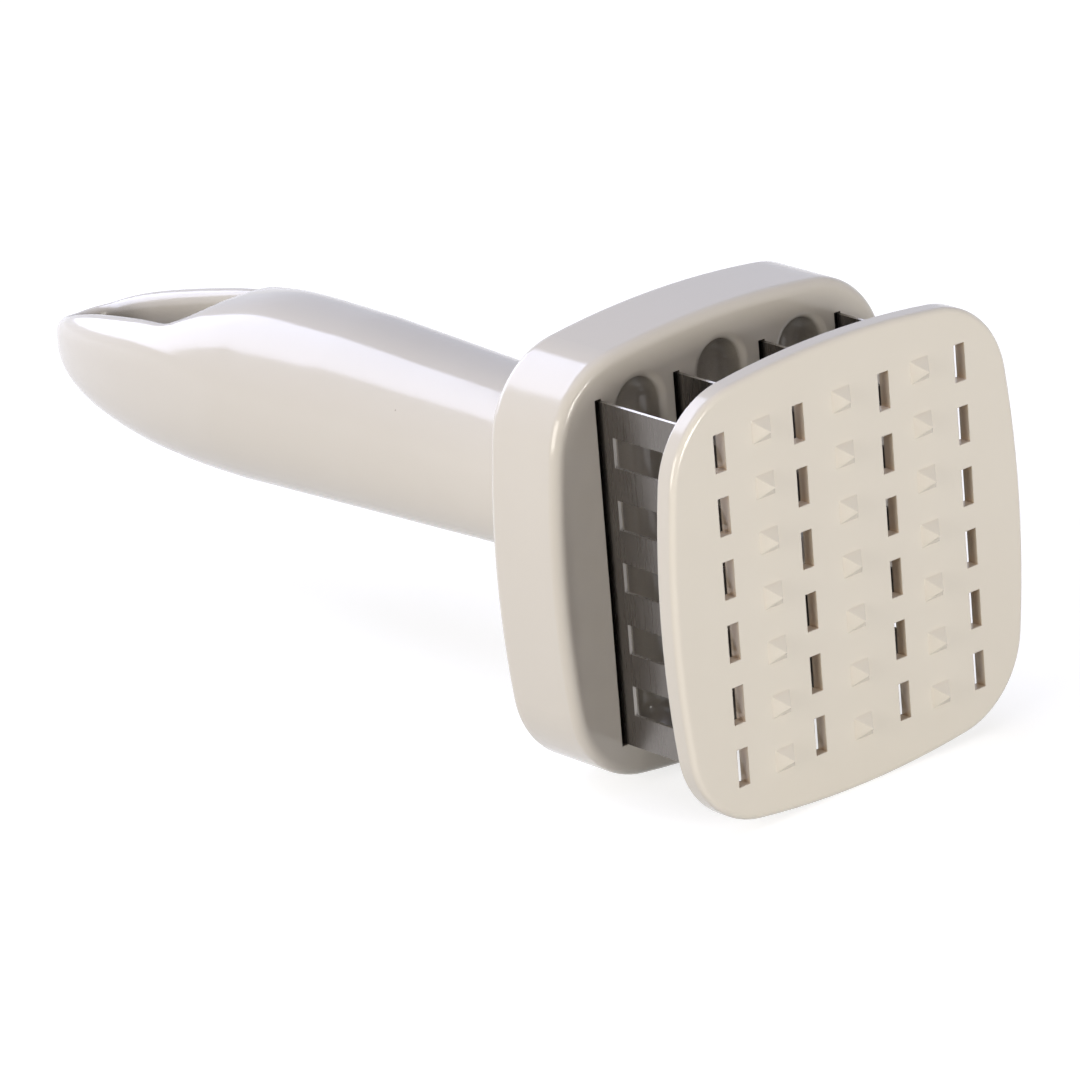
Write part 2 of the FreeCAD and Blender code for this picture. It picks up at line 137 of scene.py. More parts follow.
def new_material(name):
    """A material with an empty node tree and its output node."""
    material = bpy.data.materials.new(name)
    material.use_nodes = True
    tree = material.node_tree
    tree.nodes.clear()
    return material, tree, add_node(tree, "ShaderNodeOutputMaterial")


print("cream in linear light:", [round(c, 3) for c in linear("#DDD5C9")[:3]])

# %% [markdown]
# ## Cream ABS, moulded in a polished tool
#
# ABS is the hard plastic of kitchen tools. The head, the plate and the grip are injection-moulded in a
# steel tool that was polished, so the skin mirrors lamps sharply, yet it is never quite flat: it shrinks
# a little unevenly as it cools, which bends a reflection in slow waves. An image texture would freeze one
# light into it, so the skin is written as a few layers of noise, each at its real size: the slow waves, a
# faint drift of colour where the melt flowed, a fine haze of handling, and the rare dark speck of burnt
# resin that such mouldings carry.
#
# In the recesses the skin's colour is darkened and tinted: this is painted shade. It stands in for the
# shade that falls there and for the colour that light takes up as it bounces from wall to wall. Painting
# it by hand would have to be done again for every change of form. An ambient occlusion node finds the
# recesses by itself, as places with little open space within its reach: a short one for the plate's narrow
# windows, a longer one for the head's hollows and the grip's eye. It looks at the piece alone, so the
# painted shade stays put when the guard slides.
#
# No moulded corner is truly sharp. The corners that show are rounded in the meshes; the last few tenths
# of a millimetre come from a bevel node, which bends the normal near an edge so that it catches a thin
# line of light.

# %% Sizes in the moulded ABS
abs_wave = 14 * MM            # from one shrink wave to the next
abs_wave_height = 0.09 * MM
abs_flow = 30 * MM            # drift of the colour
abs_haze = 1.6 * MM           # patches of rubbed gloss
abs_speck_cell = 11 * MM      # one speck at most in each cell of this size
abs_speck = 0.16 * MM         # radius; real specks are finer, this is about one pixel of the picture
abs_speck_share = 0.45        # how much of its own colour a speck shows through the skin
abs_edge = 0.3 * MM           # melt never fills a corner of the tool sharper than this
window_reach = 5 * MM         # how far the occlusion looks for a wall
hollow_reach = 10 * MM
window_open = 0.8             # share of open space below which the painted shade starts
hollow_open = 0.95
fully_sunk = 0.45             # share of open space at which the painted shade is full
print("a speck is", round(abs_speck / abs_speck_cell, 4), "of its cell")


# %% Moulded ABS
def make_cream_abs(name, reach, open_share, painted_shade):
    """Glossy cream skin; its last colour is painted shade, laid where the skin has little open space within
    reach.
    """
    material, tree, output = new_material(name)
    place = add_node(tree, "ShaderNodeTexCoord").outputs["Object"]
    # colour: the drift of the flow, then the specks, then painted shade in the recesses
    flow = add_node(tree, "ShaderNodeTexNoise",
                    {"Vector": place, "Scale": 1 / abs_flow, "Detail": 3.0, "Distortion": 0.6}).outputs["Fac"]
    tone = add_node(tree, "ShaderNodeMix",
                    {"Factor": flow, "A": linear("#DBD5C9"), "B": linear("#DFDACF")},
                    data_type="RGBA").outputs["Result"]
    cells = add_node(tree, "ShaderNodeTexVoronoi", {"Vector": place, "Scale": 1 / abs_speck_cell}).outputs
    near = add_node(tree, "ShaderNodeMath", {0: cells["Distance"], 1: abs_speck / abs_speck_cell},
                    operation="LESS_THAN").outputs[0]
    speck = add_node(tree, "ShaderNodeMath", {0: near, 1: abs_speck_share}, operation="MULTIPLY").outputs[0]
    specked = add_node(tree, "ShaderNodeMix",
                       {"Factor": speck, "A": tone, "B": linear("#8A7B66")},
                       data_type="RGBA").outputs["Result"]
    open_sky = add_node(tree, "ShaderNodeAmbientOcclusion", {"Distance": reach},
                        samples=8, only_local=True).outputs["AO"]
    sunk = add_node(tree, "ShaderNodeMapRange",
                    {"Value": open_sky, "From Min": open_share, "From Max": fully_sunk}).outputs["Result"]
    colour = add_node(tree, "ShaderNodeMix",
                      {"Factor": sunk, "A": specked, "B": linear(painted_shade)},
                      data_type="RGBA").outputs["Result"]
    # gloss: polished, with a faint haze
    haze = add_node(tree, "ShaderNodeTexNoise",
                    {"Vector": place, "Scale": 1 / abs_haze, "Detail": 6.0, "Roughness": 0.65}).outputs["Fac"]
    gloss = add_node(tree, "ShaderNodeMapRange",
                     {"Value": haze, "From Min": 0.35, "From Max": 0.75,
                      "To Min": 0.11, "To Max": 0.17}).outputs["Result"]
    # form: the slow waves, and the corners' last rounding
    wave = add_node(tree, "ShaderNodeTexNoise",
                    {"Vector": place, "Scale": 1 / abs_wave, "Detail": 1.0}).outputs["Fac"]
    edge = add_node(tree, "ShaderNodeBevel", {"Radius": abs_edge}, samples=6).outputs["Normal"]
    bump = add_node(tree, "ShaderNodeBump",
                    {"Height": wave, "Strength": 0.5, "Distance": abs_wave_height,
                     "Normal": edge}).outputs["Normal"]
    shader = add_node(tree, "ShaderNodeBsdfPrincipled",
                      {"Base Color": colour, "Roughness": gloss, "IOR": 1.54, "Normal": bump})
    tree.links.new(shader.outputs["BSDF"], output.inputs["Surface"])
    return material


# the last colour is painted shade: warm in the plate's windows, dark in the head's hollows and the grip's eye
plate_abs = make_cream_abs("cream_abs_moulded_plate", window_reach, window_open, "#DEC8AC")
body_abs = make_cream_abs("cream_abs_moulded_body", hollow_reach, hollow_open, "#6E665D")
print("made", plate_abs.name, "and", body_abs.name)

# %% [markdown]
# ## Stainless strip, cold rolled
#
# The blades are stamped from 0.6 mm stainless strip. The rolls leave fine lines along the strip, which
# runs up and down here, so the noise is squeezed across Z and drawn out along it. The lines do two
# things: they vary the gloss from line to line, and they tilt the surface a hair, so a reflection is
# drawn out across them. Metal has no colour of its own below the mirror, so everything the eye sees is
# base colour times surroundings.
#
# The edges are another matter: a punch sheared them. It pulls the sheet's corner over before it cuts,
# which leaves a brighter face with a slight roll. These are the faces that don't look along Y, so one
# test on the normal finds them, and a tilt of the normal gives them the roll, with no bevel to model on
# every tooth.

# %% Rolled stainless strip
roll_line = 0.35 * MM      # real lines are ten times finer; these are as fine as the picture can show
roll_length = 9 * MM
roll_height = 0.002 * MM
strip_stain = 7 * MM       # clouds left by the bright annealing
sheared_below = 0.5        # a face that leans over 60 degrees from Y was sheared
shear_roll = (0.0, -0.66, 0.0)   # how far its normal is pulled over


def make_strip_steel():
    """Rolled faces, and brighter, slightly rolled-over faces where the punch cut."""
    material, tree, output = new_material("stainless_strip_rolled")
    where = add_node(tree, "ShaderNodeTexCoord").outputs
    drawn = add_node(tree, "ShaderNodeMapping",
                     {"Vector": where["Object"],
                      "Scale": (1.0, 1.0, roll_line / roll_length)}).outputs["Vector"]
    lines = add_node(tree, "ShaderNodeTexNoise",
                     {"Vector": drawn, "Scale": 1 / roll_line, "Detail": 4.0,
                      "Roughness": 0.6}).outputs["Fac"]
    stain = add_node(tree, "ShaderNodeTexNoise",
                     {"Vector": where["Object"], "Scale": 1 / strip_stain, "Detail": 4.0,
                      "Roughness": 0.6}).outputs["Fac"]
    tone = add_node(tree, "ShaderNodeMix",
                    {"Factor": stain, "A": linear("#75706C"), "B": linear("#827F7B")},
                    data_type="RGBA").outputs["Result"]
    facing = add_node(tree, "ShaderNodeSeparateXYZ", {0: where["Normal"]}).outputs["Y"]
    across = add_node(tree, "ShaderNodeMath", {0: facing}, operation="ABSOLUTE").outputs[0]
    sheared = add_node(tree, "ShaderNodeMath", {0: across, 1: sheared_below},
                       operation="LESS_THAN").outputs[0]
    colour = add_node(tree, "ShaderNodeMix",
                      {"Factor": sheared, "A": tone, "B": linear("#9E9A94")},
                      data_type="RGBA").outputs["Result"]
    gloss = add_node(tree, "ShaderNodeMapRange",
                     {"Value": lines, "From Min": 0.3, "From Max": 0.7,
                      "To Min": 0.24, "To Max": 0.34}).outputs["Result"]
    bump = add_node(tree, "ShaderNodeBump",
                    {"Height": lines, "Strength": 0.2, "Distance": roll_height}).outputs["Normal"]
    roll = add_node(tree, "ShaderNodeVectorMath", {0: shear_roll, "Scale": sheared},
                    operation="SCALE").outputs[0]
    rolled = add_node(tree, "ShaderNodeVectorMath", {0: bump, 1: roll}, operation="ADD").outputs[0]
    skin = add_node(tree, "ShaderNodeVectorMath", {0: rolled}, operation="NORMALIZE").outputs[0]
    shader = add_node(tree, "ShaderNodeBsdfPrincipled",
                      {"Base Color": colour, "Metallic": 1.0, "Roughness": gloss, "Normal": skin})
    tree.links.new(shader.outputs["BSDF"], output.inputs["Surface"])
    return material


strip_steel = make_strip_steel()
print("made", strip_steel.name)

# %% [markdown]
# ## White acetal and tumbled stainless steel
#
# The stem, its bush and the blade carrier are acetal, a waxy natural-white plastic that slides well: soft
# gloss, and light enters it a little before it comes back. The screws, the pin, the washer and the spring
# are stainless steel, tumbled bright. The tumbling leaves a faint cloudy mottle, and the thin oxide on it
# gives a trace of blue and straw.

# %% Acetal
acetal_cloud = 4 * MM      # milky drift in the wall
acetal_grain = 0.4 * MM    # a spark-eroded tool leaves this grain
acetal_glow = 1 * MM       # how deep light goes in


def make_acetal():
    material, tree, output = new_material("white_acetal_moulded")
    place = add_node(tree, "ShaderNodeTexCoord").outputs["Object"]
    cloud = add_node(tree, "ShaderNodeTexNoise",
                     {"Vector": place, "Scale": 1 / acetal_cloud, "Detail": 4.0}).outputs["Fac"]
    tone = add_node(tree, "ShaderNodeMix",
                    {"Factor": cloud, "A": linear("#E6E2D8"), "B": linear("#F0EDE6")},
                    data_type="RGBA").outputs["Result"]
    gloss = add_node(tree, "ShaderNodeMapRange",
                     {"Value": cloud, "To Min": 0.34, "To Max": 0.5}).outputs["Result"]
    grain = add_node(tree, "ShaderNodeTexNoise",
                     {"Vector": place, "Scale": 1 / acetal_grain, "Detail": 2.0}).outputs["Fac"]
    bump = add_node(tree, "ShaderNodeBump",
                    {"Height": grain, "Strength": 0.2, "Distance": 0.01 * MM}).outputs["Normal"]
    shader = add_node(tree, "ShaderNodeBsdfPrincipled",
                      {"Base Color": tone, "Roughness": gloss, "IOR": 1.48, "Subsurface Weight": 0.1,
                       "Subsurface Scale": acetal_glow, "Normal": bump})
    tree.links.new(shader.outputs["BSDF"], output.inputs["Surface"])
    return material


acetal = make_acetal()
print("made", acetal.name)

# %% Tumbled stainless steel
tumbled_mottle = 1.2 * MM  # clouds of fine dents
oxide_tint = 3 * MM        # from bluish to straw


def make_tumbled_steel():
    material, tree, output = new_material("stainless_tumbled")
    place = add_node(tree, "ShaderNodeTexCoord").outputs["Object"]
    mottle = add_node(tree, "ShaderNodeTexNoise",
                      {"Vector": place, "Scale": 1 / tumbled_mottle, "Detail": 5.0,
                       "Roughness": 0.6}).outputs["Fac"]
    tint = add_node(tree, "ShaderNodeTexNoise",
                    {"Vector": place, "Scale": 1 / oxide_tint, "Detail": 2.0}).outputs["Fac"]
    sheen = add_node(tree, "ShaderNodeMix",
                     {"Factor": tint, "A": linear("#BFC3CB"), "B": linear("#CBC8BF")},
                     data_type="RGBA").outputs["Result"]
    gloss = add_node(tree, "ShaderNodeMapRange",
                     {"Value": mottle, "From Min": 0.3, "From Max": 0.7,
                      "To Min": 0.2, "To Max": 0.36}).outputs["Result"]
    bump = add_node(tree, "ShaderNodeBump",
                    {"Height": mottle, "Strength": 0.3, "Distance": 0.01 * MM}).outputs["Normal"]
    shader = add_node(tree, "ShaderNodeBsdfPrincipled",
                      {"Base Color": sheen, "Metallic": 1.0, "Roughness": gloss, "Normal": bump})
    tree.links.new(shader.outputs["BSDF"], output.inputs["Surface"])
    return material


tumbled_steel = make_tumbled_steel()
print("made", tumbled_steel.name)

# %% [markdown]
# ## Finishes on the CAD pieces
#
# The blades, the screws, the washer and the other hard pieces are flat and round forms that CAD holds
# exactly, so they stay as they are, and only their surface is new. Each one carries the name of its
# material slot, which a table turns into a finish. The guard plate gets its own ABS, because its windows
# are so much finer than the hollows of the head that they need a shorter reach.

# %% Give every CAD piece its finish
finishes = {"cream_abs": body_abs, "blade_steel": strip_steel, "white_acetal": acetal,
            "bright_steel": tumbled_steel}
for part in frame["record"]["subparts"]:
    node = frame["nodes"][part["node"]]
    finish = plate_abs if part["node"] == "guard_plate" else finishes[part["material_slot"]]
    node.material_slots[0].material = finish
    print(part["node"], "is", finish.name)

# %% [markdown]
# ## The grip
#
# The grip is one moulded piece: an oval handle that swells towards the hand's heel, then closes on a butt
# whose top slopes down round a hanging eye. Modelling it by pushing a subdivided box about would leave
# the ovals to chance, and a boolean hole would leave hard, ragged lips. Here every cross-section is a
# superellipse with its own half width, height and squareness, so the form follows a few numbers along the
# length. Round the eye the grid is laid like the spokes of a wheel, from the wall of the eye out to the
# side of the grip, which lets the lips roll over softly.

# %% Sizes of the grip, in mm
head_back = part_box("head_housing")[0].x / MM
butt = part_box("handle_body")[0].x / MM
tail_length = 57.05              # widest place to the point of the butt
swell = butt + tail_length
neck_width, neck_top, neck_bottom = 12.3, 13.5, 11.6      # from the middle line, at the head
grip_width, grip_top, grip_bottom = 15.5, 16.3, 15.2      # the same at the swell
crown_from_head = 70.0           # the top is at its full height this far behind the head
tip_drop = 1.5                   # the butt's point lies this far below the middle line
slope_start, slope_end = butt + 57.75, butt + 4.75        # the top slopes down round the eye
slope_height = 5.2               # height of the top at the slope's end
slope_blend = 0.5                # softness of the fold where the slope starts
squarer_from, squarer_over = butt + 61.75, 30.0           # the section grows squarer towards the eye
oval, square_top, square_bottom = 2.25, 1.25, 0.25        # power of the oval, and what squareness adds
width_closing, bottom_closing, top_closing = (1.8, 2.1), (2.2, 2.3), (10.0, 2.0)   # powers at the butt
eye_front, eye_back = butt + 44.75, butt + 4.75
eye_half_front = 8.8             # half width of the eye at its front
eye_front_round, eye_back_round = 5.0, 3.6
lip_round, lower_lip_round = 3.4, 2.0
spokes_start = eye_front + 12.0  # ahead of here the grip is a plain loft
print("grip from", round(head_back, 1), "to", round(butt, 1), "mm")
print("eye", round(eye_front - eye_back, 1), "mm long")

# %% [markdown]
# ### Its cross-section
#
# A superellipse is an oval with a dial: at a power of 2 it is an ellipse, and as the power grows it turns
# into a rounded box. Two halves with their own height and power, set on one middle line, give a section
# that is flatter above than below, as a thumb rest wants it. The powers, widths and heights all slide
# with the station x.

# %% Cross-section of the grip at any station
def ease(t):
    """A soft start and a soft stop between 0 and 1."""
    t = np.clip(t, 0, 1)
    return t * t * (3 - 2 * t)


def end_share(ratio, along, across):
    """Share of the full size left in a closing end: 1 at its start, 0 at its tip."""
    return (1 - np.clip(ratio, 0, 1) ** along) ** (1 / across)


def grip_section(x):
    """Half width, height above and below the middle, middle height, and the powers above and below."""
    grown = np.minimum((head_back - x) / (head_back - swell), 1)
    closing = (swell - x) / tail_length
    width = (neck_width + (grip_width - neck_width) * grown) * end_share(closing, *width_closing)
    bottom = neck_bottom + (grip_bottom - neck_bottom) * grown
    bottom = tip_drop + (bottom - tip_drop) * end_share(closing, *bottom_closing)
    top = neck_top + (grip_top - neck_top) * np.minimum((head_back - x) / crown_from_head, 1)
    slope = grip_top + (slope_height - grip_top) * (slope_start - x) / (slope_start - slope_end)
    # the lower of crown and slope, with a soft fold between them
    top = -slope_blend * np.log(np.exp(-top / slope_blend) + np.exp(-slope / slope_blend))
    top = -tip_drop + (top + tip_drop) * end_share(closing, *top_closing)
    middle = -tip_drop * ease(closing)
    squared = ease((squarer_from - x) / squarer_over)
    power_above, power_below = oval + square_top * squared, oval + square_bottom * squared
    return width, top - middle, bottom + middle, middle, power_above, power_below


def skin_height(x, y, upper):
    """Height of the grip's skin over the point (x, y)."""
    width, above, below, middle, power_above, power_below = grip_section(x)
    height, power = (above, power_above) if upper else (-below, power_below)
    across = np.clip(np.abs(y) / np.maximum(width, 1e-6), 0, 1)
    return middle + height * (1 - across ** power) ** (1 / power)


print("half width and height at the swell:", [round(float(v), 1) for v in grip_section(np.array(swell))[:2]])

# %% [markdown]
# ### Spokes round the eye
#
# The eye is a rounded triangle: two arcs at its front corners, one at its back, and straight sides that
# touch them. Its outline and the outer line of the grip are cut into the same number of points, so that
# point k on one looks at point k on the other. Each pair is a spoke, and the faces between spokes flow
# round the hole.

# %% Outline of the hanging eye, and spokes from it to the side
def resample(points, count):
    """count + 1 points spread evenly along a polyline."""
    points = np.asarray(points, float)
    steps = np.linalg.norm(np.diff(points, axis=0), axis=1)
    reach = np.concatenate([[0], np.cumsum(steps)])
    wanted = np.linspace(0, reach[-1], count + 1)
    return np.stack([np.interp(wanted, reach, points[:, axis]) for axis in range(points.shape[1])], axis=1)


def arc(centre, radius, start, end, count=60):
    """count points of a circle, from angle start to angle end."""
    angles = np.linspace(start, end, count)
    return np.stack([centre[0] + radius * np.cos(angles), centre[1] + radius * np.sin(angles)], axis=1)


front_segments, side_segments = 48, 44    # faces across the eye's front, and along each side
side_samples = 800                        # points the outer line is measured from
front_centre = (eye_front - eye_front_round, eye_half_front - eye_front_round)
rear_centre = (eye_back + eye_back_round, 0.0)
span = math.hypot(front_centre[0] - rear_centre[0], front_centre[1])
lean = (math.atan2(front_centre[1], front_centre[0] - rear_centre[0]) + math.pi / 2
        + math.asin((eye_front_round - eye_back_round) / span))
corner = arc(front_centre, eye_front_round, 0, lean)
half_way = len(corner) // 2
front_half = np.concatenate([[[eye_front, 0.0]], corner[:half_way + 1]])
side_half = np.concatenate([corner[half_way:], arc(rear_centre, eye_back_round, lean, math.pi)])
mirror = np.array([1.0, -1.0])
front_edge = resample(np.concatenate([front_half[::-1] * mirror, front_half[1:]]), front_segments)
side_edge = resample(side_half, side_segments)
eye_outline = np.concatenate([front_edge, side_edge[1:], (side_edge * mirror)[::-1][1:-1]])

start_width = float(grip_section(np.array(spokes_start))[0])
turns = np.linspace(0, math.pi, front_segments + 1)
front_line = np.stack([np.full(front_segments + 1, spokes_start), -start_width * np.cos(turns)], axis=1)
side_x = butt + (spokes_start - butt) * (1 - np.sin(np.linspace(0, math.pi / 2, side_samples)))
side_line = resample(np.stack([side_x, grip_section(side_x)[0]], axis=1), side_segments)
side_line[-1] = (butt, 0.0)
outer_line = np.concatenate([front_line, side_line[1:], (side_line * mirror)[::-1][1:-1]])
spokes = len(eye_outline)
print("spokes round the eye:", spokes)

# %% [markdown]
# ### Lips, skin and neck
#
# Along a spoke the section starts at the middle of the eye's wall, rises to the lip, rolls over it and
# follows the skin to the side. The lip needs no bevel tool: the skin is simply lowered near the eye, by
# what a circle of the lip's radius takes away at that distance. The neck flares out in the same way where
# it meets the flange.

# %% Points of the grip, from the eye to the neck
wall_steps = 20      # faces on one half of a spoke's section
spoke_samples, rim_samples = 160, 900    # points that a spoke and the eye's rim are measured with
neck_flare = 2.2     # the neck spreads into the flange over this length


def distance_to_eye(points):
    """Distance from each point to the eye's rim, seen from above."""
    dense = resample(np.concatenate([eye_outline, eye_outline[:1]]), rim_samples)
    return np.sqrt(((points[:, None, :] - dense[None]) ** 2).sum(axis=2)).min(axis=1)


def spoke_section(index, upper):
    """Points from the middle of the eye's wall, over the lip and the skin, out to the side."""
    inner, outer = eye_outline[index], outer_line[index]
    share = np.sin(np.linspace(0, math.pi / 2, spoke_samples))[:, None]
    flat = inner + (outer - inner) * share
    height = skin_height(flat[:, 0], flat[:, 1], upper)
    round_size = lip_round if upper else lower_lip_round
    inward = np.clip(round_size - distance_to_eye(flat), 0, round_size)
    sunk = round_size - np.sqrt(round_size ** 2 - inward ** 2)
    height = height - sunk if upper else height + sunk
    middle = float(grip_section(np.array(inner[0]))[3])
    wall = np.array([[inner[0], inner[1], middle]])
    return resample(np.concatenate([wall, np.column_stack([flat, height])]), wall_steps)


def neck_ring(x):
    """One closed section of the plain part of the grip, flared where it meets the flange."""
    width = float(grip_section(np.array(x))[0])
    across = -width * np.cos(turns)
    upper = skin_height(np.full_like(across, x), across, True)
    lower = skin_height(np.full_like(across, x), across, False)
    ring = [(x, y, z) for y, z in zip(across, upper)]
    ring += [(x, across[k], lower[k]) for k in range(front_segments - 1, 0, -1)]
    near = max(neck_flare - (head_back - x), 0)
    spread = neck_flare - math.sqrt(neck_flare ** 2 - near ** 2)
    return [(x, y + spread * y / math.hypot(y, z), z + spread * z / math.hypot(y, z)) for x, y, z in ring]


print("top of the lip at the eye's front in mm:", round(float(spoke_section(0, True)[:, 2].max()), 1))

# %% [markdown]
# ### A small mesh builder
#
# Most of what follows is rings of points and the faces between them, so one small class keeps the points,
# bridges ring to ring and fills flat ends. Blender's tessellation cuts a flat face with holes into
# triangles, which stays clean where a boolean would leave slivers.

# %% Builder for the meshes
class Skin:
    """Collects points in mm and the faces between them."""

    def __init__(self):
        self.points, self.faces = [], []

    def ring(self, places):
        """Adds points and returns their numbers."""
        start = len(self.points)
        self.points.extend(tuple(float(c) for c in place) for place in places)
        return list(range(start, len(self.points)))

    def bridge(self, near, far):
        """Four-sided faces between two rings of the same count."""
        for k in range(len(near)):
            after = (k + 1) % len(near)
            self.faces.append([near[k], near[after], far[after], far[k]])

    def fill(self, outer, *holes):
        """A flat face with holes, cut into triangles."""
        loops = [outer, *holes]
        flat = [index for loop in loops for index in loop]
        places = [[Vector(self.points[index]) for index in loop] for loop in loops]
        self.faces.extend([flat[i] for i in three] for three in tessellate_polygon(places))

    def mesh(self, name, crease=40):
        """The finished mesh: faces turned outwards, smooth except over edges sharper than crease degrees."""
        mesh = bpy.data.meshes.new(name)
        mesh.from_pydata([Vector(point) * MM for point in self.points], [], self.faces)
        mesh.validate()
        work = bmesh.new()
        work.from_mesh(mesh)
        bmesh.ops.recalc_face_normals(work, faces=work.faces)
        work.to_mesh(mesh)
        work.free()
        mesh.polygons.foreach_set("use_smooth", [True] * len(mesh.polygons))
        mesh.set_sharp_from_angle(angle=math.radians(crease))
        return mesh


print("the builder can make:", [tool for tool in vars(Skin) if not tool.startswith("_")])

# %% [markdown]
# ### Flange and bore
#
# The grip ends in a flange that closes the head's back and takes four screws. Its outline is the head's
# own, four slightly bowed sides and round corners, drawn in by a constant step so that the wall between
# them is even. A bore behind it holds the return spring, and a narrower one keeps the thick plastic from
# sinking as it cools.

# %% Flange, screw seats and bore of the grip
flange_front = head_back + 3.0
flange_inset = 2.95                              # from the head's outline to the flange's
flange_round = 0.4                               # its rear edge is rolled by this
head_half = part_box("head_housing")[1].y / MM
corner_radius, side_radius = 15.0, 163.0         # of the head's outline
screw_places = [(sign * 28.4, 0.0) for sign in (-1, 1)] + [(0.0, sign * 25.5) for sign in (-1, 1)]
seat_radius, seat_depth, screw_hole = 3.05, 1.5, 1.5
seat_bevel, bore_bevel = 0.2, 0.4
cavity_radius, core_radius = 9.0, 5.0            # round the spring, and behind it
cavity_end = head_back - 52.1                    # the step that the spring stands on
core_end = eye_front + 11.0


def flange_outline(x, inset, steps=18):
    """Four bowed sides joined by round corners, drawn in from the head's outline."""
    half, corner, side = head_half - inset, corner_radius - inset, side_radius - inset
    rise = half - side
    centre = (rise + math.sqrt(2 * (side - corner) ** 2 - rise ** 2)) / 2
    tilt = math.atan2(centre, centre - rise)
    bowed = arc((rise, 0), side, -tilt, tilt, steps)[:-1]
    rounded = arc((centre, centre), corner, tilt, math.pi / 2 - tilt, steps)[:-1]
    quarter = np.concatenate([bowed, rounded])
    outline = []
    for k in range(4):
        c, s = round(math.cos(k * math.pi / 2)), round(math.sin(k * math.pi / 2))
        outline += [(x, c * y - s * z, s * y + c * z) for y, z in quarter]
    return outline


def circle(x, radius, y=0.0, z=0.0, steps=48):
    """A ring across the tool's axis at x."""
    return [(x, y + px, z + pz) for px, pz in arc((0, 0), radius, 0, 2 * math.pi, steps + 1)[:-1]]


print("flange half width in mm:", round(head_half - flange_inset, 2), "bore to", round(cavity_end, 1))

# %% [markdown]
# ### Joining it all
#
# The tail, the neck, the flange and the bore share their rings, so the grip is one closed skin with no
# inner faces. It hides the plain CAD handle, rides on the same body and keeps the same material slot.

# %% Mesh of the grip
def add_tail(skin):
    """Wall, lips and skin round the eye; returns the ring where the plain part starts."""
    columns = []
    for index in range(spokes):
        upper = skin.ring(spoke_section(index, True))
        under = skin.ring(spoke_section(index, False)[1:-1])
        shared_side = index == 0 or index >= front_segments
        last = upper[-1:] if shared_side else skin.ring(spoke_section(index, False)[-1:])
        columns.append((upper, upper[:1] + under + last))
    for index in range(spokes):
        for side in (0, 1):
            here, after = columns[index][side], columns[(index + 1) % spokes][side]
            skin.faces.extend([a, b, c, d] for a, b, c, d in zip(here, after, after[1:], here[1:]))
    ring = [columns[k][0][-1] for k in range(front_segments + 1)]
    return ring + [columns[k][1][-1] for k in range(front_segments - 1, 0, -1)]


def add_tube(skin, rings):
    """Bridges a row of rings and returns the first and the last."""
    made = [skin.ring(ring) for ring in rings]
    for near, far in zip(made, made[1:]):
        skin.bridge(near, far)
    return made[0], made[-1]


def make_grip():
    skin = Skin()
    start = add_tail(skin)
    stations = list(np.linspace(spokes_start, head_back - neck_flare, 46)[1:])
    stations += [head_back - neck_flare * (1 - math.sin(t)) for t in np.linspace(0, math.pi / 2, 9)[1:]]
    first, neck = add_tube(skin, [neck_ring(x) for x in stations])
    skin.bridge(start, first)
    rolled = [(head_back + flange_round * (1 - math.cos(t)), flange_inset + flange_round * (1 - math.sin(t)))
              for t in np.linspace(0, math.pi / 2, 5)]
    rear, front = add_tube(skin, [flange_outline(x, inset) for x, inset in rolled]
                           + [flange_outline(flange_front, flange_inset)])
    seat_floor = head_back + seat_depth
    seats, holes = [], []
    for y, z in screw_places:
        profile = [(head_back, seat_radius + seat_bevel), (head_back + seat_bevel, seat_radius),
                   (seat_floor, seat_radius), (seat_floor, screw_hole), (flange_front, screw_hole)]
        seat, hole = add_tube(skin, [circle(x, radius, y, z, 40) for x, radius in profile])
        seats.append(seat)
        holes.append(hole)
    skin.fill(rear, neck, *seats)
    profile = [(flange_front, cavity_radius + bore_bevel), (flange_front - bore_bevel, cavity_radius),
               (cavity_end, cavity_radius), (cavity_end, core_radius), (core_end, core_radius)]
    bore, end = add_tube(skin, [circle(x, radius) for x, radius in profile])
    skin.fill(front, bore, *holes)
    skin.fill(end)
    return skin.mesh("grip")


grip = bpy.data.objects.new("grip", make_grip())
scene.collection.objects.link(grip)
grip.data.materials.append(finishes["cream_abs"])
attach(grip, "head")
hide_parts("handle_body")
print("grip faces:", len(grip.data.polygons))

# %% [markdown]
# ## The return spring
#
# A compression spring is one wire wound on a mandrel. Its end turns are closed against their neighbours
# and ground flat, so that it stands square on the washer and on the step in the grip. A curve with a
# bevel would leave round, open ends, so the wire is swept here ring by ring, and the rings at both ends
# are pressed flat.

# %% Spring wire
wire_radius, coil_radius = 0.55, 6.0
open_turns, closed_turns = 10, 1.25      # closed ones at each end
steps_per_turn, wire_sides = 36, 14
ground_share = 0.5                       # the end rings' middles stand this share of the wire's radius in
spring_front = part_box("stop_washer")[0].x / MM


def make_spring():
    """The wire's rings, wound about the tool's axis from the washer back to the step in the grip."""
    turns_all = open_turns + 2 * closed_turns
    count = int(turns_all * steps_per_turn) + 1
    wound = np.linspace(0, turns_all, count)
    # the wire climbs by its own thickness in a closed turn, and evenly through the open ones
    closed_climb = closed_turns * 2 * wire_radius
    ground = wire_radius * ground_share
    low, high = ground, spring_front - cavity_end - ground
    climb = np.interp(wound, [0, closed_turns, turns_all - closed_turns, turns_all],
                      [low, low + closed_climb, high - closed_climb, high])
    skin = Skin()
    rings = []
    for turned, x in zip(wound * 2 * math.pi, climb):
        outward = np.array([0, math.cos(turned), math.sin(turned)])
        ring = []
        for px, pr in arc((0, 0), wire_radius, 0, 2 * math.pi, wire_sides + 1)[:-1]:
            place = outward * (coil_radius + pr)
            place[0] = np.clip(spring_front - x + px, cavity_end, spring_front)
            ring.append(place)
        rings.append(ring)
    first, last = add_tube(skin, rings)
    skin.fill(first)
    skin.fill(last)
    return skin.mesh("spring")


